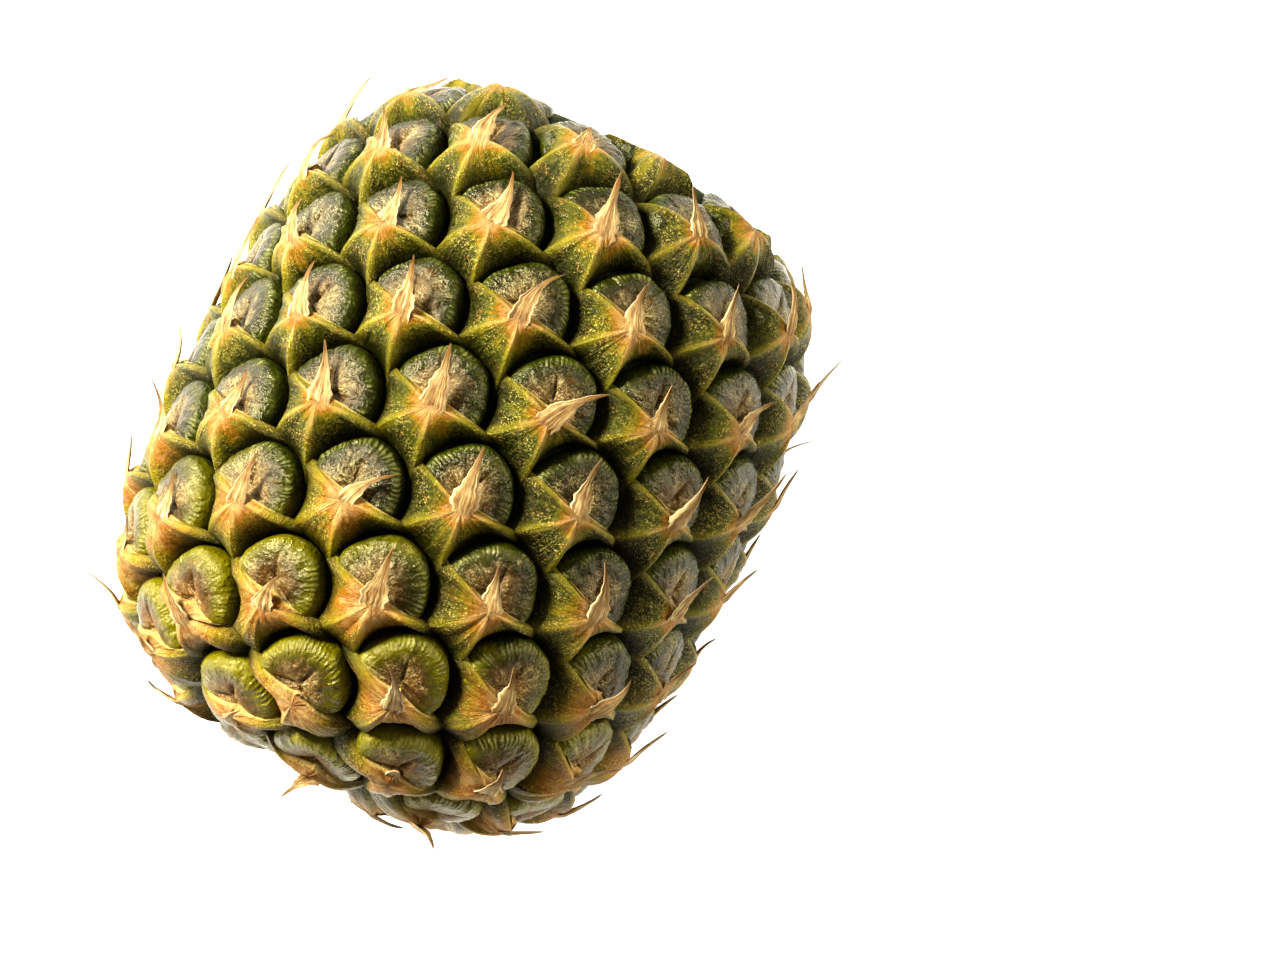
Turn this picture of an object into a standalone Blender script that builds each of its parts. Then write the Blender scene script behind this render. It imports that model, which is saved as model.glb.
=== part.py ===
"""A pineapple with its crown cut off, lying on its side: one solid, because it grew as one.

The rind is a shell of fruitlets, called eyes. They follow each other in a spiral that turns
by the golden angle, each with the same share of the skin, and each is a low dome inside a
groove, with the dry tip of its bract standing out of the middle. The fruit's axis lies along
Y with the cut at +Y. The belly's centre is over the origin, and the belly's underside is
pressed flat at z = 0. All sizes are in metres.
"""

import math

import bmesh
import bpy
from mathutils import Matrix, Vector

# The barrel, measured from the centre of the belly.
BELLY_RADIUS = 0.062
STEM_REACH = 0.073
CROWN_REACH = 0.078
ROUNDNESS = 3.1  # exponent of the barrel's outline: 2 is an ellipse, more is squarer

# The eyes.
EYE_AREA = 0.000441
EYE_TURN = math.radians(137.44)
RESTING_EYE_Y = 0.0066  # the eye nearest to this place along the fruit is the lowest one
GROOVE_DEPTH = 0.0042
# Rings of a dome, from its rim inwards: share of the way out from its middle, and depth.
DOME_RINGS = ((0.84, 0.0015), (0.56, 0.0002), (0.16, 0.0))
BRACT_RISE = 0.0055
BRACT_LEAN = 0.0045  # how far a bract's tip leans towards the crown

# What the knife, the stalk and the table leave. The first two go deeper than the grooves.
CUT_PAST_GROOVES = 0.0013
SCAR_PAST_GROOVES = 0.0006
STALK_SCAR_RADIUS = 0.0125
PRESSED_DEPTH = 0.0015  # how much of the belly is pressed flat under the fruit

AXIS_HEIGHT = BELLY_RADIUS - PRESSED_DEPTH
CUT_REACH = CROWN_REACH - GROOVE_DEPTH - CUT_PAST_GROOVES
SCAR_DEPTH = GROOVE_DEPTH + SCAR_PAST_GROOVES
CUTTER_MARGIN = 0.02  # how far a cutter stands out past what it cuts
OUTLINE_STEPS = 720
SCAR_SIDES = 24

CROWNWARD = Vector((0, 1, 0))


def clear_scene():
    for thing in list(bpy.data.objects):
        bpy.data.objects.remove(thing, do_unlink=True)


def collection(name, rendered=True):
    made = bpy.data.collections.new(name)
    made.hide_render = not rendered
    bpy.context.scene.collection.children.link(made)
    return made


def rind_material():
    made = bpy.data.materials.new("rind")
    made.use_nodes = True
    shader = made.node_tree.nodes["Principled BSDF"]
    shader.inputs["Base Color"].default_value = (0.16, 0.15, 0.03, 1)
    shader.inputs["Roughness"].default_value = 0.5
    shader.inputs["Metallic"].default_value = 0
    return made


def shares(point):
    """How far out the point is across the barrel and along it, as shares of its reach."""
    across = math.hypot(point.x, point.z) / BELLY_RADIUS
    reach = CROWN_REACH if point.y > 0 else STEM_REACH
    return across, abs(point.y) / reach, reach


def outward(point):
    """The skin's outward direction at a point on it."""
    across, along, reach = shares(point)
    radial = Vector((point.x, 0, point.z)).normalized()
    axial = Vector((0, math.copysign(1, point.y), 0))
    slope = ROUNDNESS - 1
    return (radial * across**slope / BELLY_RADIUS + axial * along**slope / reach).normalized()


def on_skin(point, depth=0.0):
    """The point moved straight out from the belly's centre to the skin, then sunk by depth."""
    across, along, _ = shares(point)
    skin = point / (across**ROUNDNESS + along**ROUNDNESS) ** (1 / ROUNDNESS)
    return skin - outward(skin) * depth


def outline():
    """The barrel's outline from the stem tip to the crown tip, as (y, radius) pairs."""
    points = []
    for step in range(OUTLINE_STEPS + 1):
        angle = math.pi * (step / OUTLINE_STEPS - 0.5)
        reach = CROWN_REACH if angle > 0 else STEM_REACH
        along = math.copysign(abs(math.sin(angle)) ** (2 / ROUNDNESS), angle)
        across = max(math.cos(angle), 0) ** (2 / ROUNDNESS)
        points.append((reach * along, BELLY_RADIUS * across))
    return points


def eye_rings():
    """The (y, radius, latitude) of each eye, each with EYE_AREA of the skin to itself.

    The latitude is the eye's place on a ball that the skin maps onto with its angles kept.
    """
    rings = []
    area = 0.0
    mercator = 0.0
    points = outline()
    for (y0, r0), (y1, r1) in zip(points, points[1:]):
        slant = math.hypot(y1 - y0, r1 - r0)
        area += math.pi * (r0 + r1) * slant
        mercator += 2 * slant / (r0 + r1)
        if area >= (len(rings) + 0.5) * EYE_AREA:
            rings.append((y1, r1, mercator))
    belly = min(rings, key=lambda ring: abs(ring[0]))[2]
    return [(y, radius, math.atan(math.sinh(m - belly))) for y, radius, m in rings]


def around(radius, y, turn):
    """A point on a circle round the axis, turned from straight below it."""
    return Vector((-radius * math.sin(turn), y, -radius * math.cos(turn)))


def add_cells(rind):
    """A closed mesh with one face for each eye, whose edges are the floors of the grooves.

    It is the dual of a net that joins each eye's centre to its neighbours. The net is the
    convex hull of the same eyes on the ball, where the hull picks the nearest neighbours.
    """
    rings = eye_rings()
    resting = min(range(len(rings)), key=lambda index: abs(rings[index][0] - RESTING_EYE_Y))
    net = bmesh.new()
    centres = {}
    for index, (y, radius, latitude) in enumerate(rings):
        turn = (index - resting) * EYE_TURN
        eye = net.verts.new(around(math.cos(latitude), math.sin(latitude), turn))
        centres[eye] = around(radius, y, turn)
    bmesh.ops.convex_hull(net, input=net.verts)
    corners = {}
    for face in net.faces:
        middle = sum((centres[eye] for eye in face.verts), Vector()) / len(face.verts)
        corners[face] = rind.verts.new(on_skin(middle, GROOVE_DEPTH))
    cells = []
    for eye, centre in centres.items():
        ring = []
        loop = eye.link_loops[0]
        while corners[loop.face] not in ring:
            ring.append(corners[loop.face])
            loop = loop.link_loop_prev.link_loop_radial_next
        cells.append((rind.faces.new(ring), centre))
    net.free()
    bmesh.ops.recalc_face_normals(rind, faces=rind.faces)
    return cells


def keeps_bract(centre):
    """False for an eye that goes with the crown, and for one under or touching the stalk."""
    clear_of_stalk = math.hypot(centre.x, centre.z) > STALK_SCAR_RADIUS + BRACT_LEAN
    return centre.y < CUT_REACH and (clear_of_stalk or centre.y > 0)


def raise_eye(rind, cell, centre):
    """Steps the cell up out of the groove into a dome, and draws its bract's tip out."""
    last_share = 1.0
    for share, depth in DOME_RINGS:
        bmesh.ops.inset_individual(rind, faces=[cell], thickness=0)
        for vert in cell.verts:
            vert.co = on_skin(centre.lerp(vert.co, share / last_share), depth)
        last_share = share
    if not keeps_bract(centre):
        return
    out = outward(centre)
    crownward = (CROWNWARD - out * CROWNWARD.dot(out)).normalized()
    tip = bmesh.ops.poke(rind, faces=[cell])["verts"][0]
    tip.co = centre + out * BRACT_RISE + crownward * BRACT_LEAN


def add_fruit(parts):
    rind = bmesh.new()
    for cell, centre in add_cells(rind):
        raise_eye(rind, cell, centre)
    bmesh.ops.triangulate(rind, faces=rind.faces)
    mesh = bpy.data.meshes.new("fruit")
    rind.to_mesh(mesh)
    rind.free()
    mesh.transform(Matrix.Translation((0, 0, AXIS_HEIGHT)))
    mesh.materials.append(rind_material())
    fruit = bpy.data.objects.new("fruit", mesh)
    parts.objects.link(fruit)
    return fruit


def cutter(name, mesh_maker, cutters, fruit):
    """A cutting body made by mesh_maker, and the Boolean that takes it out of the fruit."""
    shape = bmesh.new()
    mesh_maker(shape)
    mesh = bpy.data.meshes.new(name)
    shape.to_mesh(mesh)
    shape.free()
    made = bpy.data.objects.new(name, mesh)
    made.hide_render = True
    made.display_type = "WIRE"
    cutters.objects.link(made)
    cut = fruit.modifiers.new(name, "BOOLEAN")
    cut.operation = "DIFFERENCE"
    cut.object = made


def block(low, high):
    """A maker of the box between two opposite corners."""

    def make(shape):
        bmesh.ops.create_cube(shape, size=1)
        for vert in shape.verts:
            vert.co = Vector(h if c > 0 else l for c, l, h in zip(vert.co, low, high))

    return make


def stalk_plug(shape):
    """The round plug that the broken stalk leaves a hollow of, at the stem end."""
    length = SCAR_DEPTH + CUTTER_MARGIN
    bmesh.ops.create_cone(
        shape,
        cap_ends=True,
        segments=SCAR_SIDES,
        radius1=STALK_SCAR_RADIUS,
        radius2=STALK_SCAR_RADIUS,
        depth=length,
    )
    middle = -STEM_REACH + SCAR_DEPTH - length / 2
    for vert in shape.verts:
        x, y, z = vert.co
        vert.co = Vector((x, middle + z, AXIS_HEIGHT - y))


def main():
    clear_scene()
    fruit = add_fruit(collection("pineapple"))
    cutters = collection("cutters", rendered=False)
    wide = BELLY_RADIUS + CUTTER_MARGIN
    high = 2 * BELLY_RADIUS + CUTTER_MARGIN
    knife_end = CROWN_REACH + CUTTER_MARGIN
    stem_end = -STEM_REACH - CUTTER_MARGIN
    crown_block = block((-wide, CUT_REACH, -CUTTER_MARGIN), (wide, knife_end, high))
    table_block = block((-wide, stem_end, -CUTTER_MARGIN), (wide, knife_end, 0))
    cutter("crown_cut", crown_block, cutters, fruit)
    cutter("table_press", table_block, cutters, fruit)
    cutter("stalk_scar", stalk_plug, cutters, fruit)


main()
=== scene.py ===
import math

import bpy
import numpy as np
from mathutils import Matrix, Vector


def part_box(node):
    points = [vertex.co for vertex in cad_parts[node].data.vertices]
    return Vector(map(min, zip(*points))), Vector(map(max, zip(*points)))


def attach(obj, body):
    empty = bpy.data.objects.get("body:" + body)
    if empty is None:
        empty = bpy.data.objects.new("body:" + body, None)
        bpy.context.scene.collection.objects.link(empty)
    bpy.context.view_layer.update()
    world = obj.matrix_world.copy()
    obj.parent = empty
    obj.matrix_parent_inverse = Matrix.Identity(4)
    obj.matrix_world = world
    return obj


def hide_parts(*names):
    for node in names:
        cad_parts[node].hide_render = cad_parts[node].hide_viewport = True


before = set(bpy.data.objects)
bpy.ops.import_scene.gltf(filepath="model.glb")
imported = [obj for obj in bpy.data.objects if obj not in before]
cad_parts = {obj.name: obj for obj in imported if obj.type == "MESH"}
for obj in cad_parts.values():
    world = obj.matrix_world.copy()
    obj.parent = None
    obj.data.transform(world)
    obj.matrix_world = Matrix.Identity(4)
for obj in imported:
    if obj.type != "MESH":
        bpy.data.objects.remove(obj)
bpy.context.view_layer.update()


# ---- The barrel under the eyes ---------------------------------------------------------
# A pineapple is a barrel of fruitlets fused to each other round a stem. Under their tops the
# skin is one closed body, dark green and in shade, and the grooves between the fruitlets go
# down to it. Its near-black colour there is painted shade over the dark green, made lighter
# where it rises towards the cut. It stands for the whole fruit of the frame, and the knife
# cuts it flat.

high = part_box("fruit")[1]
BELLY_RADIUS = 0.062
STEM_REACH = 0.073
CROWN_REACH = 0.078
ROUNDNESS = 3.1
CUT_Y = float(high[1])
PRESSED_DEPTH = 0.0015  # how much of the belly is pressed flat under the fruit
AXIS_HEIGHT = BELLY_RADIUS - PRESSED_DEPTH
AXIS = np.array([0.0, 0.0, AXIS_HEIGHT])
GROOVE_DEPTH = 0.0055
RIM_DEPTH = 0.0018  # how deep the skin between the eyes lies where the knife went through
RIM_START = 0.012  # how far from the cut it starts to rise
BED_UNDER_CUT = 0.0002  # how far under the cut face the bed ends
BED_SEGMENTS = 160
BED_RINGS = 120
SCAR_RADIUS = 0.0125
SCAR_DEPTH = 0.0048


def deselect_all():
    if bpy.context.mode != "OBJECT":
        bpy.ops.object.mode_set(mode="OBJECT")
    bpy.ops.object.select_all(action="DESELECT")


def points_of(thing):
    found = np.empty(len(thing.data.vertices) * 3, np.float32)
    thing.data.vertices.foreach_get("co", found)
    return found.reshape(-1, 3).astype(float)


def move_points(thing, places):
    thing.data.vertices.foreach_set("co", np.asarray(places, np.float32).ravel())
    thing.data.update()


def reach_of(points):
    return np.where(points[:, 1] > 0, CROWN_REACH, STEM_REACH)


def outward(points):
    """The skin's outward directions at points on it, measured from the belly's centre."""
    radial = points * [1, 0, 1]
    across = np.linalg.norm(radial, axis=1)
    reach = reach_of(points)
    slope = ROUNDNESS - 1
    found = radial / np.maximum(across, 1e-9)[:, None]
    found *= ((across / BELLY_RADIUS) ** slope / BELLY_RADIUS)[:, None]
    found[:, 1] = np.sign(points[:, 1]) * (np.abs(points[:, 1]) / reach) ** slope / reach
    return found / np.linalg.norm(found, axis=1, keepdims=True)


def on_skin(points, height=0.0):
    """The points pushed straight out to the skin, then raised by height."""
    across = np.hypot(points[:, 0], points[:, 2]) / BELLY_RADIUS
    along = np.abs(points[:, 1]) / reach_of(points)
    share = (across**ROUNDNESS + along**ROUNDNESS) ** (1 / ROUNDNESS)
    skin = points / share[:, None]
    return skin + outward(skin) * np.broadcast_to(height, (len(skin),))[:, None]


def settle(points, under_cut):
    """Places measured from the belly's centre, in the frame: cut, hollowed and pressed flat.

    The knife leaves each point no higher than under_cut below the cut face.
    """
    placed = points.copy()
    across = np.hypot(placed[:, 0], placed[:, 2])
    in_scar = (placed[:, 1] < 0) & (across < SCAR_RADIUS)
    stretch = np.where(in_scar, SCAR_RADIUS / np.maximum(across, 1e-6), 1.0)
    placed[:, 0] *= stretch
    placed[:, 2] *= stretch
    placed[in_scar, 1] = -STEM_REACH + GROOVE_DEPTH
    placed[:, 1] = np.minimum(placed[:, 1], CUT_Y - under_cut)
    placed += AXIS
    placed[:, 2] = np.maximum(placed[:, 2], 0.0)
    return placed


def add_bed():
    deselect_all()
    bpy.ops.mesh.primitive_uv_sphere_add(
        segments=BED_SEGMENTS, ring_count=BED_RINGS, radius=BELLY_RADIUS
    )
    bed = bpy.context.object
    bed.name = "rind_bed"
    ball = points_of(bed)
    turned = np.stack([ball[:, 0], ball[:, 2], -ball[:, 1]], axis=1)
    rising = np.clip((on_skin(turned)[:, 1] - CUT_Y + RIM_START) / RIM_START, 0, 1) ** 2
    places = on_skin(turned, (GROOVE_DEPTH - RIM_DEPTH) * rising - GROOVE_DEPTH)
    places[:, 1] = np.minimum(places[:, 1], CUT_Y - BED_UNDER_CUT)
    places += AXIS
    move_points(bed, places)
    bpy.ops.object.shade_smooth()
    return bed


class Signal:
    """A shader socket that can be worked with as a number."""

    def __init__(self, finish, socket):
        self.finish = finish
        self.socket = socket

    def math(self, operation, *others):
        return self.finish.node("ShaderNodeMath", {"operation": operation}, (self, *others))

    def flipped(self, operation, other):
        return self.finish.node("ShaderNodeMath", {"operation": operation}, (other, self))

    def __add__(self, other):
        return self.math("ADD", other)

    def __sub__(self, other):
        return self.math("SUBTRACT", other)

    def __mul__(self, other):
        return self.math("MULTIPLY", other)

    def __truediv__(self, other):
        return self.math("DIVIDE", other)

    def __rsub__(self, other):
        return self.flipped("SUBTRACT", other)

    __radd__ = __add__


class Finish:
    """A material whose nodes are written as expressions."""

    def __init__(self, name, **constants):
        self.material = bpy.data.materials.new(name)
        self.material.use_nodes = True
        self.tree = self.material.node_tree
        self.shader = self.tree.nodes["Principled BSDF"]
        for socket, value in constants.items():
            self.shader.inputs[socket.replace("_", " ")].default_value = value

    def node(self, kind, settings=None, values=(), output=0):
        made = self.tree.nodes.new(kind)
        for name, value in (settings or {}).items():
            setattr(made, name, value)
        pairs = values.items() if isinstance(values, dict) else enumerate(values)
        for key, value in pairs:
            if isinstance(value, Signal):
                self.tree.links.new(value.socket, made.inputs[key])
            elif value is not None:
                made.inputs[key].default_value = value
        return Signal(self, made.outputs[output])

    def feed(self, **links):
        for name, value in links.items():
            self.tree.links.new(value.socket, self.shader.inputs[name.replace("_", " ")])

    def place(self):
        """Object coordinates in millimetres."""
        metres = self.node("ShaderNodeTexCoord", output="Object")
        return self.scaled(metres, 1000)

    def scaled(self, vector, factor):
        settings = {"operation": "SCALE"}
        return self.node("ShaderNodeVectorMath", settings, {"Vector": vector, "Scale": factor})

    def moved(self, vector, shift):
        return self.node("ShaderNodeVectorMath", {"operation": "ADD"}, (vector, shift))

    def parts(self, vector):
        split = self.node("ShaderNodeSeparateXYZ", values=(vector,)).socket.node
        return [Signal(self, socket) for socket in split.outputs]

    def joined(self, x, y, z):
        return self.node("ShaderNodeCombineXYZ", values=(x, y, z))

    def attribute(self, name, output="Fac"):
        return self.node("ShaderNodeAttribute", {"attribute_name": name}, output=output)

    def noise(self, vector, size, detail=2.0, rough=0.5, swirl=0.0):
        """Noise from 0 to 1 whose patches are about size across."""
        values = {
            "Vector": vector,
            "Scale": 1 / size,
            "Detail": detail,
            "Roughness": rough,
            "Distortion": swirl,
        }
        return self.node("ShaderNodeTexNoise", values=values)

    def smooth(self, signal, start, end):
        """0 at start, 1 at end, and eased in between."""
        values = {"Value": signal, "From Min": start, "From Max": end}
        return self.node("ShaderNodeMapRange", {"interpolation_type": "SMOOTHSTEP"}, values)

    def mix(self, share, first, second):
        values = {"Factor": share, 6: first, 7: second}
        return self.node("ShaderNodeMix", {"data_type": "RGBA"}, values, output=2)

    def ramp(self, signal, stops):
        made = self.node("ShaderNodeValToRGB", values=(signal,))
        ramp = made.socket.node.color_ramp
        while len(ramp.elements) < len(stops):
            ramp.elements.new(0.5)
        for element, (position, colour) in zip(ramp.elements, stops):
            element.position = position
            element.color = colour
        return made

    def bump(self, height, depth):
        """Height from 0 to 1 as a relief that is depth metres deep."""
        values = {"Strength": 1.0, "Distance": depth, "Height": height}
        return self.node("ShaderNodeBump", values=values)


def paint(code):
    """A colour from its six-digit code, in the shader's linear values."""
    shares = [int(code[start : start + 2], 16) / 255 for start in (0, 2, 4)]
    return (*[s / 12.92 if s <= 0.04045 else ((s + 0.055) / 1.055) ** 2.4 for s in shares], 1)


def bed_finish():
    finish = Finish("groove_green_painted_shade", Roughness=0.7, Specular_IOR_Level=0.1)
    place = finish.place()
    y = finish.parts(place)[1]
    patches = finish.smooth(finish.noise(place, 2.5, detail=3), 0.35, 0.65)
    # The near-black skin is painted shade in the grooves over the dark green; the lighter mix near
    # the cut is the same skin painted as lit, where it rises out of the grooves.
    skin = finish.mix(patches, paint("0a0a00"), paint("1c1e02"))
    upper = finish.smooth(y, 1000 * (CUT_Y - RIM_START), 1000 * CUT_Y - 2)
    skin = finish.mix(upper, skin, finish.mix(patches, paint("141a00"), paint("343a04")))
    sliced = finish.smooth(y, 1000 * CUT_Y - 0.5, 1000 * CUT_Y - 0.25)
    skin = finish.mix(sliced, skin, finish.mix(patches, paint("4c5010"), paint("746c1c")))
    finish.feed(
        Base_Color=skin,
        Normal=finish.bump(finish.noise(place, 0.8, detail=3), 0.0006),
    )
    return finish.material


bed = add_bed()
bed.data.materials.append(bed_finish())
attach(bed, "root")
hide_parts("fruit")


# ---- The tops of the eyes --------------------------------------------------------------
# Each fruitlet ends in a round cushion of thick skin, about 22 mm across. They follow each
# other in a spiral that turns by the golden angle. The skin is green with a pale bloom and
# a puckered rim, and dry and brown in the middle, where three sepals close over the flower.
# Its creases are painted darker, partly as shade, its rim is painted near black as shade where
# it drops into the grooves, and the rim's wrinkle crests are painted pale, partly as highlight.

EYE_AREA = 0.000441
EYE_TURN = math.radians(137.44)
RESTING_EYE_Y = 0.0066
OUTLINE_STEPS = 720
SPIRAL_ROWS = 8
CUSHION_RADIUS = 0.0109
CUSHION_SHIFT = (-0.0005, 0.0035)  # from the bract's root to the cushion's middle
CUSHION_SEGMENTS = 96
CUSHION_SHARES = (1.0, 0.985, 0.965, 0.94, 0.91, 0.875, 0.83, 0.78, 0.72, 0.64, 0.55, 0.45)
CUSHION_SHARES += (0.35, 0.26, 0.18, 0.1)
CUSHION_SEED = 1000
NEIGHBOUR_SHARE = 0.985  # how much of its half of the way to a neighbour a cushion fills
CORNER_POWER = 14  # how sharply a cushion turns from its round edge to a flattened one
NEIGHBOUR_REACH = 0.036
CREASE_WIDTH = 0.00042
CREASE_DEPTH = 0.0006
FOOT_SHARE = 0.8  # the width of a puck's hidden foot, as a share of its own
PAST_CUT = 0.004  # how far past the cut the middle of a kept cushion may lie
FOOT_DEPTH = 0.0065  # how deep the hidden undersides lie
HIDDEN_STEP = 0.0025  # and how far under the cut face the knife leaves them


def eye_rings():
    """The y and radius of each eye, each with EYE_AREA of the skin to itself."""
    angle = math.pi * (np.arange(OUTLINE_STEPS + 1) / OUTLINE_STEPS - 0.5)
    reach = np.where(angle > 0, CROWN_REACH, STEM_REACH)
    y = reach * np.sign(angle) * np.abs(np.sin(angle)) ** (2 / ROUNDNESS)
    radius = BELLY_RADIUS * np.maximum(np.cos(angle), 0) ** (2 / ROUNDNESS)
    slant = np.hypot(np.diff(y), np.diff(radius))
    area = np.cumsum(math.pi * (radius[:-1] + radius[1:]) * slant)
    step = np.searchsorted(area, np.arange(0.5, area[-1] / EYE_AREA) * EYE_AREA) + 1
    return y[step], radius[step]


ring_y, ring_radius = eye_rings()
turns = (np.arange(len(ring_y)) - np.argmin(np.abs(ring_y - RESTING_EYE_Y))) * EYE_TURN
roots = np.stack([-ring_radius * np.sin(turns), ring_y, -ring_radius * np.cos(turns)], axis=1)
out_of_eye = outward(roots)
crownward = np.array([0.0, 1.0, 0.0]) - out_of_eye * out_of_eye[:, 1:2]
crownward /= np.linalg.norm(crownward, axis=1, keepdims=True)
rightward = np.cross(crownward, out_of_eye)


def near_eye(eye, across, along, height):
    """Places from an eye's root: across to its right, along to the crown, and up."""
    flat = roots[eye] + np.outer(across, rightward[eye]) + np.outer(along, crownward[eye])
    return on_skin(flat, height)


cushions = np.concatenate(
    [near_eye(eye, [CUSHION_SHIFT[0]], [CUSHION_SHIFT[1]], 0.0) for eye in range(len(roots))]
)


def around(eye, start):
    """The directions and distances of the neighbours' cushions, seen from a start on the eye."""
    away = cushions - start
    distance = np.linalg.norm(away, axis=1)
    close = (distance < NEIGHBOUR_REACH) & (np.arange(len(roots)) != eye)
    found = away[close]
    direction = np.arctan2(found @ crownward[eye], found @ rightward[eye])
    return direction, distance[close]


def wave(angle, size, count, chance):
    """A smooth random wave round an eye, up to about size high."""
    total = sum(
        np.sin(angle * turn + chance.uniform(0, 2 * math.pi)) / math.sqrt(turn)
        for turn in range(2, 2 + count)
    )
    return total * size / math.sqrt(count)


def cushion_outline(eye, angle, chance):
    """How far out the cushion goes at each angle, flattened towards near neighbours."""
    direction, distance = around(eye, cushions[eye])
    facing = np.cos(angle[:, None] - direction[None, :])
    wall = (NEIGHBOUR_SHARE * distance / 2 / np.maximum(facing, 0.05)).min(axis=1)
    free = CUSHION_RADIUS * (1 + wave(angle, 0.03, 5, chance))
    both = (wall**-CORNER_POWER + free**-CORNER_POWER) ** (-1 / CORNER_POWER)
    return both * (1 + wave(angle * 5, 0.006, 5, chance))


def cushion_height(share):
    """How high the cushion's skin lies over the barrel's own, from its middle to its rim."""
    shoulder = np.interp(share, [0, 0.55, 0.75, 0.88, 0.95, 1], [0, 1, 4, 12, 25, 56]) * -1e-4
    return 0.0004 + shoulder


def add_puck(name, segments, shares):
    """A closed disc of radius 1: a flat foot at z = -1 and a top at 0 with a ring at each share."""
    deselect_all()
    bpy.ops.mesh.primitive_circle_add(
        vertices=segments, radius=FOOT_SHARE, fill_type="TRIFAN", location=(0, 0, -1)
    )
    puck = bpy.context.object
    puck.name = name
    bpy.ops.object.transform_apply(location=True)
    bpy.ops.object.mode_set(mode="EDIT")
    bpy.ops.mesh.select_mode(type="FACE")
    bpy.ops.mesh.select_all(action="SELECT")
    last = FOOT_SHARE
    rise = 1.0
    for share in shares:
        bpy.ops.mesh.extrude_region_move(TRANSFORM_OT_translate={"value": (0, 0, rise)})
        bpy.ops.transform.resize(value=(share / last, share / last, 1))
        last = share
        rise = 0.0
    bpy.ops.mesh.select_all(action="SELECT")
    bpy.ops.mesh.normals_make_consistent(inside=False)
    bpy.ops.object.mode_set(mode="OBJECT")
    bpy.ops.object.shade_smooth()
    return puck


def copy_of(master, name):
    made = master.copy()
    made.data = master.data.copy()
    made.name = name
    bpy.context.collection.objects.link(made)
    return made


def note(thing, name, values):
    """Keeps a number or a vector for each vertex, for the finish to read."""
    values = np.asarray(values, np.float32)
    kind = "FLOAT" if values.ndim == 1 else "FLOAT_VECTOR"
    layer = thing.data.attributes.new(name, kind, "POINT")
    layer.data.foreach_set("value" if values.ndim == 1 else "vector", values.ravel())


def join_row(pieces, name, material):
    deselect_all()
    for piece in pieces:
        piece.select_set(True)
    bpy.context.view_layer.objects.active = pieces[0]
    bpy.ops.object.join()
    joined = bpy.context.object
    joined.name = name
    joined.data.materials.clear()
    joined.data.materials.append(material)
    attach(joined, "root")
    return joined


def add_cushion(master, eye):
    chance = np.random.default_rng(CUSHION_SEED + eye)
    disc = points_of(master)
    share = np.hypot(disc[:, 0], disc[:, 1])
    angle = np.arctan2(disc[:, 1], disc[:, 0])
    foot = disc[:, 2] < -0.5
    outline = cushion_outline(eye, angle, chance)
    height = cushion_height(share)
    rim = np.clip((share - 0.45) / 0.35, 0, 1) * np.clip((1.02 - share) / 0.1, 0, 1)
    height += rim * wave(angle * 5, 0.00028, 5, chance)
    height += wave(angle, 0.0004, 3, chance) * share**2
    sunken = chance.uniform(0.0006, 0.0018)
    height -= sunken * np.exp(-((share / 0.36) ** 2))
    first_crease = math.radians(chance.normal(95, 14))
    nearest = np.abs((angle - first_crease + math.pi / 3) % (2 * math.pi / 3) - math.pi / 3)
    crease = np.exp(-((nearest * share * outline / CREASE_WIDTH) ** 2))
    crease *= np.interp(share, (0, 0.08, 0.4, chance.uniform(0.5, 0.7)), (0, 1, 0.8, 0))
    height -= CREASE_DEPTH * crease
    lobe = np.sin(nearest * 1.5) * np.interp(share, (0, 0.12, 0.3, 0.55), (0, 0.6, 1, 0))
    height += lobe * chance.uniform(0.0002, 0.0009)
    below_root = np.clip(-(CUSHION_SHIFT[1] + share * outline * np.sin(angle)) / 0.004, 0, 1)
    height -= 0.0032 * below_root
    across = CUSHION_SHIFT[0] + share * outline * np.cos(angle)
    along = CUSHION_SHIFT[1] + share * outline * np.sin(angle)
    height = np.where(foot, -FOOT_DEPTH, height)
    made = copy_of(master, "cushion")
    move_points(made, settle(near_eye(eye, across, along, height), foot * HIDDEN_STEP))
    lot = np.full(len(disc), chance.uniform())
    note(made, "eye_place", np.stack([disc[:, 0], disc[:, 1], lot], axis=1))
    note(made, "crease", crease)
    return made


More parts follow.
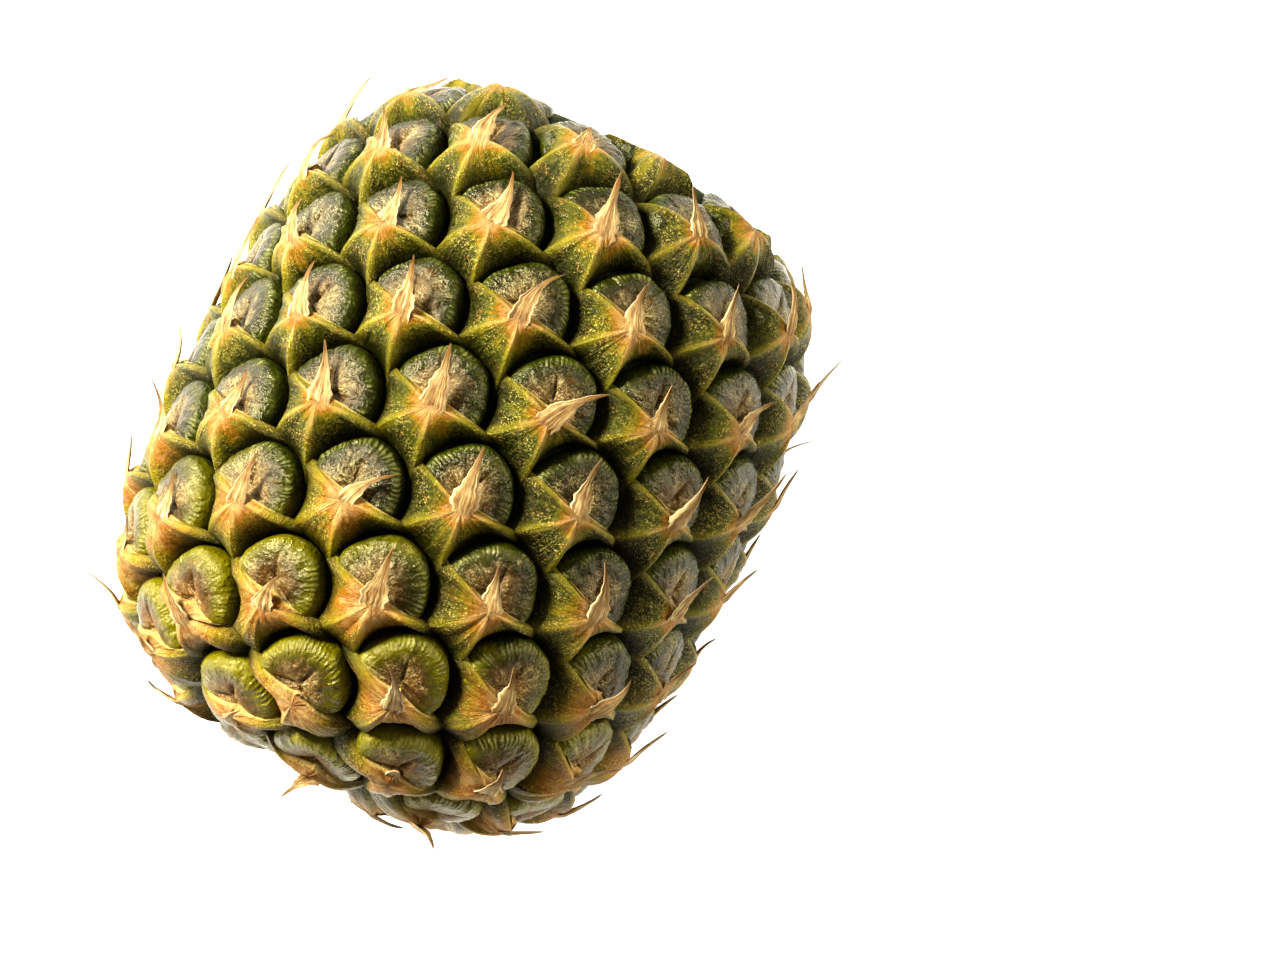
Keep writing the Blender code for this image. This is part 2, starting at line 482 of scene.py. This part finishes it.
def cushion_finish():
    finish = Finish("rind_green", Specular_IOR_Level=0.5, Specular_Tint=(1, 0.9, 0.64, 1))
    place = finish.place()
    side, along, lot = finish.parts(finish.attribute("eye_place", "Vector"))
    share = (side * side + along * along).math("SQRT")
    angle = along.math("ARCTAN2", side)
    y = finish.parts(place)[1]
    broad = finish.noise(place, 9, detail=2)
    patch = finish.noise(place, 3.2, detail=4, rough=0.6)
    fine = finish.noise(place, 0.55, detail=4, rough=0.7)
    dust = finish.noise(place, 0.3, detail=2, rough=0.6)
    ripe = finish.smooth(y + (broad - 0.5) * 50, -14, -56)
    green = finish.mix(finish.smooth(patch, 0.35, 0.7), paint("0a0c00"), paint("1e2400"))
    rim_light = finish.smooth(share, 0.6, 0.95) * 0.4
    green = finish.mix(rim_light * patch * 1.5, green, paint("4a5400"))
    green = finish.mix(ripe * finish.smooth(share, 0.35, 0.9) * 0.8, green, paint("787000"))
    dry_edge = share + (patch - 0.5) * 0.9
    dry = finish.smooth(dry_edge, 0.7, 0.2) * (0.14 + lot * 0.5 + ripe * 0.5)
    skin = finish.mix(dry, green, finish.mix(fine, paint("341c00"), paint("8e5e2a")))
    brown = finish.smooth(patch, 0.56, 0.68) * finish.smooth(share, 0.95, 0.5) * 0.7
    skin = finish.mix(brown, skin, paint("4e2c04"))
    # Darker brown along the sepals' creases: partly their own brown seam, partly painted shade in
    # them.
    skin = finish.mix(finish.attribute("crease") * 0.75, skin, paint("3a1c02"))
    speckle = finish.smooth(dust + (fine - 0.5) * 0.7, 0.53, 0.6)
    outwards = finish.joined(side / (share + 0.08) * 8, along / (share + 0.08) * 8, lot * 40)
    streak = finish.smooth(finish.noise(outwards, 1.0, detail=4, rough=0.65), 0.5, 0.64)
    speckle = speckle * 0.65 + streak * 0.45
    bloom = speckle * finish.smooth(share + (broad + patch - 1) * 1.6, 0.66, 0.2) * 0.6
    skin = finish.mix(bloom, skin, paint("ccc084"))
    wobble = (patch - 0.5) * 9 + (broad - 0.5) * 22
    wrinkle = (angle * 52 + wobble).math("SINE") * 0.5 + 0.5
    puckered = finish.smooth(patch + broad, 0.92, 1.2)
    rim = finish.smooth(share + (patch - 0.5) * 0.4, 0.6, 0.85) * (0.15 + puckered * 0.6)
    # Painted highlight, partly bloom: the rim's wrinkle crests are painted pale.
    crest_glint = wrinkle * finish.smooth(share, 0.72, 0.84) * finish.smooth(share, 0.94, 0.88)
    skin = finish.mix(crest_glint * puckered * 0.3, skin, paint("b0b068"))
    # Painted shade: the rim darkens to near black where it drops into the grooves.
    foot = finish.smooth(share, 0.95, 1.0)
    skin = finish.mix(foot * 0.6, skin, paint("120f00"))
    knobs = finish.noise(place, 1.5, detail=3, rough=0.55)
    relief = wrinkle * rim * 0.5 + patch * 1.0 + knobs * 1.1 + fine * 0.3
    finish.feed(
        Base_Color=skin,
        Roughness=0.2 + bloom * 0.55 + dry * 0.45,
        Normal=finish.bump(relief, 0.00055),
    )
    return finish.material


def kept_eyes():
    """The eyes that the knife leaves."""
    return [eye for eye in range(len(roots)) if cushions[eye, 1] < CUT_Y + PAST_CUT]


cushion = add_puck("cushion_master", CUSHION_SEGMENTS, CUSHION_SHARES)
rind_green = cushion_finish()
for row in range(SPIRAL_ROWS):
    members = [add_cushion(cushion, eye) for eye in kept_eyes() if eye % SPIRAL_ROWS == row]
    join_row(members, f"eyes_row_{row + 1}", rind_green)
bpy.data.objects.remove(cushion)


# ---- The bracts ------------------------------------------------------------------------
# Under each cushion sits a leathery bract, shaped like a star with four tips that reach the
# corners between the cushions round it. It is papery and tan at its root, orange-brown and
# then dark green further out, and its upper edges lie thin and dry over its own cushion. Its
# lower edges, where they hang into the grooves, and the hollows between its ridges are
# painted darker, partly as shade.

BRACT_SEGMENTS = (20, 20, 14, 22, 20)  # between its right tip, spine, left and two lower tips
BRACT_SHARES = (1.0, 0.975, 0.94, 0.89, 0.82, 0.73, 0.63, 0.52, 0.41, 0.3, 0.19, 0.09)
TIP_REACH = 0.0158
BRACT_GAP = 0.0107  # from a neighbour cushion's middle to the bract's edge
BRACT_RISE = 0.0022
SPINE_BASE = 0.0026
TIP_WINDOWS = ((-50, 25), (148, 212), (212, 262), (276, 322))  # degrees, each tip's range
BRACT_SEED = 3000
BRACT_FOOT_SHARE = 0.7
HANGING_EDGE = -0.0052  # the height of the lower edges, which hang into the grooves
LYING_EDGE = 0.00035  # how high over its own cushion the upper edge lies
LYING_LOWEST = -0.0035  # and the lowest that it may go
BRACT_UNDER_CUT = 0.00012  # how far under the cut face the knife leaves a bract's top
STALK_CLEARANCE = 0.0045  # how far from the broken stalk a bract has to grow to be left


def open_reach(eye, angle):
    """How far a bract can go at each angle before it meets a neighbour's cushion."""
    direction, distance = around(eye, roots[eye])
    facing = angle[:, None] - direction[None, :]
    sideways = distance * np.abs(np.sin(facing))
    hits = (np.cos(facing) > 0) & (sideways < BRACT_GAP)
    chord = np.sqrt(np.maximum(BRACT_GAP**2 - sideways**2, 0))
    reach = np.where(hits, distance * np.cos(facing) - chord, 1.0)
    return np.minimum(reach.min(axis=1), TIP_REACH)


def bract_tips(eye):
    """The angles of the right, left and two lower tips, in that order round the root."""
    found = []
    for first, last in TIP_WINDOWS:
        angle = np.radians(np.arange(first, last))
        reach = open_reach(eye, angle)
        best = reach > reach.max() - 0.0002
        found.append(float(angle[best].mean()))
    return found


def bract_outline(eye, chance):
    """The angle and reach of each of the bract's edge points, and how much each is a ridge."""
    right, left, lower_left, lower_right = bract_tips(eye)
    corners = [right, math.radians(90), left, lower_left, lower_right, right + 2 * math.pi]
    spans = [
        start + (end - start) * np.arange(count) / count
        for start, end, count in zip(corners, corners[1:], BRACT_SEGMENTS)
    ]
    angle = np.concatenate(spans)
    reach = open_reach(eye, angle) * (1 + wave(angle, 0.03, 5, chance))
    upper = (angle > right) & (angle < left)
    for tip, toward in ((right, 1), (left, -1)):
        side = upper & ((angle - math.radians(90)) * toward <= 1e-9)
        quarter = (angle[side] - tip) / (math.radians(90) - tip) * (math.pi / 2)
        tip_reach = open_reach(eye, np.array([tip]))[0] * 0.97
        power = chance.uniform(0.62, 0.82)
        base = SPINE_BASE * chance.uniform(0.7, 1.2)
        edge = (np.cos(quarter) / tip_reach) ** power + (np.sin(quarter) / base) ** power
        reach[side] = edge ** (-1 / power)
    ridge = np.zeros(len(angle))
    for tip in (right, left, lower_left, lower_right):
        apart = np.abs((angle - tip + math.pi) % (2 * math.pi) - math.pi)
        ridge = np.maximum(ridge, np.exp(-((apart / 0.11) ** 2)))
    return angle, reach, ridge, upper


def add_bract(master, eye):
    chance = np.random.default_rng(BRACT_SEED + eye)
    disc = points_of(master)
    share = np.hypot(disc[:, 0], disc[:, 1])
    count = sum(BRACT_SEGMENTS)
    step = np.round(np.arctan2(disc[:, 1], disc[:, 0]) / (2 * math.pi) * count).astype(int) % count
    foot = disc[:, 2] < -0.5
    angles, reaches, ridges, uppers = bract_outline(eye, chance)
    angle, reach, ridge, upper = angles[step], reaches[step], ridges[step], uppers[step]
    across = share * reach * np.cos(angle)
    along = share * reach * np.sin(angle)
    rim_across = reach * np.cos(angle) - CUSHION_SHIFT[0]
    rim_along = reach * np.sin(angle) - CUSHION_SHIFT[1]
    under = np.hypot(rim_across, rim_along) / CUSHION_RADIUS
    lying = cushion_height(np.minimum(under, 1)) + LYING_EDGE
    lying += np.abs(wave(angle, 0.0005, 6, chance))
    hanging = HANGING_EDGE * np.ones(len(disc))
    edge = np.where(upper & (under < 1), np.maximum(lying, LYING_LOWEST), hanging)
    on_tip = ridge * (share**2) * 0.0012
    power = np.where(upper, 1.0, 3.2 - 1.2 * ridge)
    fall = share**power
    height = BRACT_RISE * (1 - fall) + edge * fall + on_tip * (1 - share)
    height += ridge * 0.0005 * np.sin(math.pi * np.clip(share, 0, 1)) ** 0.8
    height += wave(angle * 3, 0.0003, 6, chance) * np.sin(math.pi * share)
    across = np.where(foot, across * BRACT_FOOT_SHARE, across)
    along = np.where(foot, along * BRACT_FOOT_SHARE, along)
    height = np.where(foot, -FOOT_DEPTH, height)
    made = copy_of(master, "bract")
    under_cut = BRACT_UNDER_CUT + foot * HIDDEN_STEP
    move_points(made, settle(near_eye(eye, across, along, height), under_cut))
    lot = np.full(len(disc), chance.uniform())
    note(made, "eye_place", np.stack([share * np.cos(angle), share * np.sin(angle), lot], axis=1))
    note(made, "from_root", share * reach / TIP_REACH)
    note(made, "ridge", ridge * np.clip(share * 4, 0, 1))
    note(made, "dry_edge", upper * share)
    return made


def bract_finish():
    finish = Finish("bract_leather", Specular_IOR_Level=0.3, Specular_Tint=(1, 0.9, 0.6, 1))
    place = finish.place()
    side, along, lot = finish.parts(finish.attribute("eye_place", "Vector"))
    share = (side * side + along * along).math("SQRT")
    from_root = finish.attribute("from_root")
    ridge = finish.attribute("ridge")
    dry_edge = finish.attribute("dry_edge")
    y = finish.parts(place)[1]
    broad = finish.noise(place, 9, detail=2)
    patch = finish.noise(place, 2.6, detail=4, rough=0.6)
    fine = finish.noise(place, 0.6, detail=3, rough=0.7)
    dust = finish.noise(place, 0.32, detail=2, rough=0.6)
    ray = finish.joined(side / (share + 0.02) * 9, along / (share + 0.02) * 9, lot * 50 + share)
    fibre = finish.noise(ray, 1.0, detail=4, rough=0.65)
    ripe = finish.smooth(y + (broad - 0.5) * 50, -8, -50)
    outwardness = from_root + (patch - 0.5) * 0.6 + (fibre - 0.5) * 0.45 - ripe * 0.14
    # Between the ridges the colour moves further along the ramp, to darker green: partly the bract's
    # own green, partly painted shade in the hollows.
    hollow = (1 - ridge) * (1 - dry_edge * 0.7) * finish.smooth(share, 0.12, 0.5)
    outwardness = outwardness + (lot - 0.5) * 0.2 + hollow * (1 - ripe * 0.6) * 0.13
    stops = (
        (0.0, paint("c09a66")),
        (0.17, paint("a67c46")),
        (0.27, paint("8c5c0a")),
        (0.38, paint("6a5c00")),
        (0.5, paint("383e00")),
        (0.68, paint("161c00")),
        (0.95, paint("0c0f00")),
    )
    skin = finish.ramp(outwardness, stops)
    rusty = ripe * finish.smooth(outwardness, 0.85, 0.3) * finish.smooth(patch, 0.35, 0.6)
    skin = finish.mix(rusty * 0.6, skin, paint("8c4a08"))
    skin = finish.mix(dry_edge * finish.smooth(share, 0.7, 1.0) * 0.8, skin, paint("c8ac68"))
    arm = finish.mix(finish.smooth(from_root, 0.2, 0.5), paint("c8a268"), paint("968a14"))
    skin = finish.mix(ridge * (1 - from_root * 0.6) * 0.7, skin, arm)
    spots = finish.smooth(patch * 0.6 + fine * 0.4, 0.56, 0.62)
    skin = finish.mix(spots * finish.smooth(from_root, 0.1, 0.4) * 0.7, skin, paint("5e2c00"))
    mottle = finish.smooth(fine, 0.5, 0.64) * finish.smooth(from_root, 0.95, 0.3)
    skin = finish.mix(mottle * 0.3, skin, paint("a8983c"))
    clusters = finish.smooth(broad + patch, 0.86, 1.1) * finish.smooth(from_root, 0.12, 0.35)
    grains = finish.smooth(dust + (fine - 0.5) * 0.4, 0.56, 0.64) * clusters
    skin = finish.mix(grains * 0.6, skin, paint("d4c468"))
    # The lower edges darken to near black where they hang into the grooves: partly their own dark
    # green, partly painted shade.
    edge = finish.smooth(share + (patch - 0.5) * 0.3, 0.66, 0.98) * (1 - dry_edge)
    skin = finish.mix(edge * 0.85, skin, paint("141800"))
    papery = finish.smooth(outwardness, 0.34, 0.1)
    relief = fibre * 0.8 + fine * 0.4 + patch * 0.8
    finish.feed(
        Base_Color=skin,
        Roughness=0.3 + papery * 0.4 + grains * 0.1,
        Normal=finish.bump(relief + dust * 0.25, 0.0009),
    )
    return finish.material


def bearing_eyes():
    """The eyes that keep their bract: the broken stalk takes those that grow against it."""
    across = np.hypot(roots[:, 0], roots[:, 2])
    on_stalk = (roots[:, 1] < 0) & (across < SCAR_RADIUS + STALK_CLEARANCE)
    return [eye for eye in kept_eyes() if not on_stalk[eye]]


bract = add_puck("bract_master", sum(BRACT_SEGMENTS), BRACT_SHARES)
bract_leather = bract_finish()
for row in range(SPIRAL_ROWS):
    members = [add_bract(bract, eye) for eye in bearing_eyes() if eye % SPIRAL_ROWS == row]
    join_row(members, f"bracts_row_{row + 1}", bract_leather)
bpy.data.objects.remove(bract)


# ---- The spines ------------------------------------------------------------------------
# Each bract ends in a dry spine: a papery blade that is arched across and tapers to a thin
# tip. It leaves the root towards the crown, leans a little to one side, and about a quarter
# of the tips stand well up. One that would cross the cut is shortened or left out.

SPINE_SIDES = 18
SPINE_STEPS = 16
SPINE_LENGTHS = (0.0085, 0.0128)
SPINE_START = -0.004
SPINE_CLEARANCE = 0.005  # how high over the skin a spine may need room under the cut face
SPINE_SHORTEST = 0.004
SPINE_SEED = 5000
TALL_SHARE = 0.25  # the share of the spines that stand well up
TALL_LIFT = 0.005
SPINE_ALONG = (0, 0.14, 0.3, 0.45, 0.6, 0.72, 0.88, 1)
SPINE_WIDTHS = (0.0008, 0.0021, 0.0025, 0.0021, 0.0013, 0.0007, 0.00042, 0.0001)


def add_blade():
    """A rod of radius 1 and length 1 along z, with a ring at each step and closed ends."""
    deselect_all()
    bpy.ops.mesh.primitive_circle_add(vertices=SPINE_SIDES, radius=1, fill_type="TRIFAN")
    blade = bpy.context.object
    blade.name = "spine_master"
    bpy.ops.object.mode_set(mode="EDIT")
    bpy.ops.mesh.select_mode(type="FACE")
    bpy.ops.mesh.select_all(action="SELECT")
    for _ in range(SPINE_STEPS):
        bpy.ops.mesh.extrude_region_move(
            TRANSFORM_OT_translate={"value": (0, 0, 1 / SPINE_STEPS)}
        )
    bpy.ops.mesh.select_all(action="SELECT")
    bpy.ops.mesh.normals_make_consistent(inside=False)
    bpy.ops.object.mode_set(mode="OBJECT")
    bpy.ops.object.shade_smooth()
    return blade


def spine_room(eye):
    """How long a spine can be before it meets the cut face."""
    below_cut = CUT_Y - roots[eye, 1] - out_of_eye[eye, 1] * SPINE_CLEARANCE
    return below_cut / max(crownward[eye, 1], 0.01)


def add_spine(master, eye):
    chance = np.random.default_rng(SPINE_SEED + eye)
    rod = points_of(master)
    t = rod[:, 2]
    at_stem = float(np.interp(roots[eye, 1], (-0.06, -0.03), (0.6, 1)))
    length = min(chance.uniform(*SPINE_LENGTHS) * at_stem, spine_room(eye))
    lean = math.radians(chance.normal(-9, 11))
    curl = chance.normal(0, 0.0024)
    lift = chance.uniform(0.0, 0.004) + TALL_LIFT * (chance.uniform() < TALL_SHARE)
    lift *= float(np.interp(roots[eye, 1], (CUT_Y - 0.02, CUT_Y - 0.012), (1, 0.3)))
    crook = chance.normal(0, 0.0016)
    width = np.interp(t, SPINE_ALONG, SPINE_WIDTHS) * chance.uniform(0.85, 1.15)
    half = 0.00022 * (1 - t) ** 0.4 + 0.00006
    ahead = SPINE_START + (length - SPINE_START) * t
    ragged = np.sin(t * 19 + chance.uniform(0, 6)) + np.sin(t * 47 + chance.uniform(0, 6))
    aside = rod[:, 0] * width * (1 + 0.11 * ragged)
    arch = (1 - rod[:, 0] ** 2) * chance.uniform(-0.0004, 0.0007) * (1 - t)
    pleats = chance.uniform(6, 11)
    fold = 0.00034 * np.sin(rod[:, 0] * pleats + t * 4 + chance.uniform(0, 6)) * (1 - t) ** 0.6
    rise = 0.0006 + 0.0015 * np.clip(t / 0.3, 0, 1) + lift * t**2.2 + crook * np.sin(math.pi * t) * t
    height = rise + arch + fold + rod[:, 1] * half
    across = ahead * math.sin(lean) + aside * math.cos(lean) + curl * t**3
    along = ahead * math.cos(lean) - aside * math.sin(lean)
    made = copy_of(master, "spine")
    move_points(made, settle(near_eye(eye, across, along, height), 0.0))
    lot = np.full(len(rod), chance.uniform())
    note(made, "eye_place", np.stack([rod[:, 0], t, lot], axis=1))
    return made


def spine_finish():
    finish = Finish("spine_paper", Specular_IOR_Level=0.25)
    side, along, lot = finish.parts(finish.attribute("eye_place", "Vector"))
    grain = finish.joined(side * 5, along * 2.2, lot * 40)
    streak = finish.noise(grain, 1.0, detail=5, rough=0.65)
    patch = finish.noise(finish.place(), 2.2, detail=3)
    stops = (
        (0.34, paint("4c3010")),
        (0.45, paint("8c6a40")),
        (0.54, paint("ae925e")),
        (0.66, paint("ead6a4")),
    )
    skin = finish.ramp(streak * 0.75 + patch * 0.25, stops)
    skin = finish.mix(finish.smooth(along + (patch - 0.5) * 0.4, 0.62, 1.0), skin, paint("7c5420"))
    skin = finish.mix(finish.smooth(along, 0.3, 0.05) * 0.75, skin, paint("987850"))
    thin = finish.smooth(side.math("ABSOLUTE"), 0.75, 1.0) * 0.5
    skin = finish.mix(thin, skin, paint("e8d0a8"))
    finish.feed(
        Base_Color=skin,
        Roughness=0.55 + patch * 0.2,
        Normal=finish.bump(streak, 0.0004),
    )
    return finish.material


blade = add_blade()
spine_paper = spine_finish()
for row in range(SPIRAL_ROWS):
    uncut = [eye for eye in bearing_eyes() if spine_room(eye) > SPINE_SHORTEST]
    members = [add_spine(blade, eye) for eye in uncut if eye % SPIRAL_ROWS == row]
    join_row(members, f"spines_row_{row + 1}", spine_paper)
bpy.data.objects.remove(blade)


# ---- The cut end -----------------------------------------------------------------------
# The crown was cut off with a knife. The cut face is wet yellow flesh with a paler, tougher
# core in the middle, fibres that run out from it, and a thin rim of green rind.

FLESH_SEGMENTS = 180
FLESH_SHARES = (1.0, 0.985, 0.96, 0.92, 0.86, 0.78, 0.7, 0.6, 0.5, 0.4, 0.3, 0.2, 0.1)
RIND_THICKNESS = 0.0011
CORE_RADIUS = 0.0115
OUTLINE_SEED = 6000
FLESH_SEED = 7000
FLESH_FOOT = -0.003


def cut_outline(angle):
    """How far the flesh reaches from the axis at each angle round the cut."""
    around_axis = (points_of(bed) - AXIS)[:, [0, 2]]
    on_cut = np.abs(points_of(bed)[:, 1] - CUT_Y) < 0.0005
    rim = np.hypot(*around_axis[on_cut].T).max() - RIND_THICKNESS
    return rim * (1 + wave(angle * 2, 0.006, 6, np.random.default_rng(OUTLINE_SEED)))


def add_flesh():
    puck = add_puck("cut_flesh", FLESH_SEGMENTS, FLESH_SHARES)
    disc = points_of(puck)
    share = np.hypot(disc[:, 0], disc[:, 1])
    angle = np.arctan2(disc[:, 1], disc[:, 0])
    count = FLESH_SEGMENTS
    step = np.round(angle / (2 * math.pi) * count).astype(int) % count
    outline = cut_outline(np.arange(count) * 2 * math.pi / count)
    reach = outline[step] * share
    chance = np.random.default_rng(FLESH_SEED)
    relief = wave(angle * 5, 0.00012, 6, chance) * share
    height = 0.00025 + relief - 0.0006 * np.clip((share - 0.94) / 0.06, 0, 1)
    height = np.where(disc[:, 2] < -0.5, FLESH_FOOT, height)
    places = np.stack([reach * np.sin(angle), CUT_Y + height, reach * np.cos(angle)], axis=1)
    move_points(puck, places + AXIS)
    note(puck, "rim_share", share)
    return puck


def flesh_finish():
    finish = Finish("wet_flesh", Specular_IOR_Level=0.6)
    across, _, up = finish.parts(finish.moved(finish.place(), (0, 0, -1000 * AXIS_HEIGHT)))
    radius = (across * across + up * up).math("SQRT")
    share = finish.attribute("rim_share")
    ray = finish.joined(across / (radius + 1) * 14, up / (radius + 1) * 14, radius * 0.07)
    fibre = finish.noise(ray, 1.0, detail=5, rough=0.6, swirl=0.3)
    patch = finish.noise(finish.place(), 4.5, detail=4)
    juice = finish.noise(finish.place(), 1.1, detail=3)
    flesh = finish.mix(finish.smooth(fibre, 0.36, 0.64), paint("a87c02"), paint("c8a410"))
    flesh = finish.mix(finish.smooth(patch, 0.5, 0.7) * 0.5, flesh, paint("a87c04"))
    core = finish.smooth(radius + (patch - 0.5) * 3, CORE_RADIUS * 1150, CORE_RADIUS * 900)
    flesh = finish.mix(core * 0.85, flesh, finish.mix(juice, paint("b09430"), paint("c4ac4c")))
    rim = finish.smooth(share + (patch - 0.5) * 0.06, 0.9, 0.985)
    flesh = finish.mix(rim, flesh, paint("807c24"))
    relief = fibre * 0.7 + juice * 0.5
    finish.feed(
        Base_Color=flesh,
        Roughness=0.22 + patch * 0.25,
        Normal=finish.bump(relief, 0.0007),
    )
    return finish.material


flesh = add_flesh()
flesh.data.materials.append(flesh_finish())
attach(flesh, "root")


# ---- The broken stalk ------------------------------------------------------------------
# The fruit was snapped off its stalk, which leaves a round stub in a shallow hollow at the
# stem end: dry brown fibres in rings, with a paler, split heart.

STUB_SEGMENTS = 96
STUB_SEED = 8000
STUB_RISE = 0.002  # how far the stub is lifted out of the hollow's floor
STUB_DIP = 0.0012  # and how much lower its face then lies
STUB_FOOT = -0.004
STUB_SHARES = (1.0, 0.97, 0.92, 0.85, 0.77, 0.68, 0.58, 0.48, 0.38, 0.28, 0.18, 0.09)


def add_stub():
    puck = add_puck("stalk_scar", STUB_SEGMENTS, STUB_SHARES)
    disc = points_of(puck)
    share = np.hypot(disc[:, 0], disc[:, 1])
    angle = np.arctan2(disc[:, 1], disc[:, 0])
    chance = np.random.default_rng(STUB_SEED)
    reach = share * (SCAR_RADIUS - 0.0002) * (1 + wave(angle, 0.02, 6, chance))
    height = -STUB_DIP + 0.0011 * np.sin(share * 13) * (1 - share)
    height += wave(angle * 4, 0.0005, 6, chance)
    height -= 0.0018 * np.clip((share - 0.8) / 0.2, 0, 1)
    height = np.where(disc[:, 2] < -0.5, STUB_FOOT, height)
    y = -STEM_REACH + SCAR_DEPTH - height - STUB_RISE
    places = np.stack([reach * np.cos(angle), y, reach * np.sin(angle)], axis=1)
    move_points(puck, places + AXIS)
    note(puck, "rim_share", share)
    return puck


def stub_finish():
    finish = Finish("stalk_fibre", Specular_IOR_Level=0.3)
    share = finish.attribute("rim_share")
    dots = finish.noise(finish.place(), 0.55, detail=4, rough=0.7)
    patch = finish.noise(finish.place(), 3.0, detail=4)
    rings = ((share + (patch - 0.5) * 0.2) * 26).math("SINE") * 0.5 + 0.5
    skin = finish.mix(dots, paint("5a3a1c"), paint("b08a58"))
    skin = finish.mix(finish.smooth(share, 0.5, 0.1) * 0.6, skin, paint("cbb184"))
    skin = finish.mix(rings * 0.35, skin, paint("46280f"))
    relief = dots * 0.8 + rings * 0.5 + patch * 0.6
    finish.feed(
        Base_Color=skin,
        Roughness=0.75 + patch * 0.15,
        Normal=finish.bump(relief, 0.0008),
    )
    return finish.material


stub = add_stub()
stub.data.materials.append(stub_finish())
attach(stub, "root")


# ---- The floor -------------------------------------------------------------------------
# A smooth white table under the fruit, a hair below it so that the two faces never meet.
# It isn't part of the fruit.

FLOOR_SIZE = 6.0
FLOOR_DROP = 0.0002

deselect_all()
bpy.ops.mesh.primitive_plane_add(size=FLOOR_SIZE, location=(0, 0, -FLOOR_DROP))
floor = bpy.context.object
floor.name = "floor"
floor_finish = Finish(
    "floor_white",
    Roughness=0.9,
    Base_Color=paint("f0f0f0"),
    Emission_Color=paint("ffffff"),
    Emission_Strength=0.6,
)
floor.data.materials.append(floor_finish.material)


# ---- The light and the camera ----------------------------------------------------------
# A small soft box at the upper left is the main light, and a weaker one fills from the
# right. A broad dim one over the camera and a warm sky lighten the shade. The camera looks
# almost straight down on the belly.

TILT = math.radians(28.03)  # how far the crown end leans to the right of the view's upright
PITCH = math.radians(-4.9)  # how far the crown end leans away from the camera
DISTANCE = 0.744
LENS = 97.25
SENSOR = 36.0
BELLY_RIGHT = -0.0512  # the belly's centre in the view, as slopes from its middle
BELLY_UP = 0.0039


def view_axes():
    """The view's right, up and backward directions."""
    back = Vector((0, math.sin(PITCH), math.cos(PITCH)))
    up = Vector(
        (
            -math.sin(TILT),
            math.cos(TILT) * math.cos(PITCH),
            -math.cos(TILT) * math.sin(PITCH),
        )
    )
    return up.cross(back), up, back


def add_light(name, toward, distance, size, power, colour):
    """A square soft box that shines on the belly's centre from that side."""
    lamp = bpy.data.lights.new(name, "AREA")
    lamp.size = size
    lamp.energy = power
    lamp.color = colour
    made = bpy.data.objects.new(name, lamp)
    made.location = Vector(AXIS) + toward.normalized() * distance
    made.rotation_euler = toward.to_track_quat("Z", "Y").to_euler()
    bpy.context.scene.collection.objects.link(made)


right, up, back = view_axes()
add_light("soft_box", up * 0.7 - right * 0.9 + back * 0.8, 1.1, 0.3, 41, (1.0, 0.95, 0.82))
add_light("fill", right * 1.1 + up * 0.25 + back * 0.45, 1.2, 0.4, 10, (1.0, 0.93, 0.78))
add_light("overhead", back + up * 0.3 + right * 0.5, 1.4, 1.2, 4, (1.0, 0.95, 0.82))
world = bpy.data.worlds.new("studio")
world.use_nodes = True
world.node_tree.nodes["Background"].inputs["Color"].default_value = (1, 0.94, 0.8, 1)
world.node_tree.nodes["Background"].inputs["Strength"].default_value = 0.15
bpy.context.scene.world = world
bpy.context.scene.view_settings.view_transform = "Standard"
bpy.context.scene.view_settings.look = "Medium High Contrast"

camera_data = bpy.data.cameras.new("camera")
camera_data.lens = LENS
camera_data.sensor_width = SENSOR
camera_data.clip_start = 0.01
camera = bpy.data.objects.new("camera", camera_data)
bpy.context.scene.collection.objects.link(camera)
camera.location = Vector(AXIS) + back * DISTANCE
upright = Matrix((right, up, back)).transposed()
seen = Vector((BELLY_RIGHT, BELLY_UP, -1)).normalized()
aim = seen.rotation_difference(Vector((0, 0, -1)))
camera.rotation_euler = (upright @ aim.to_matrix()).to_euler()
bpy.context.scene.camera = camera
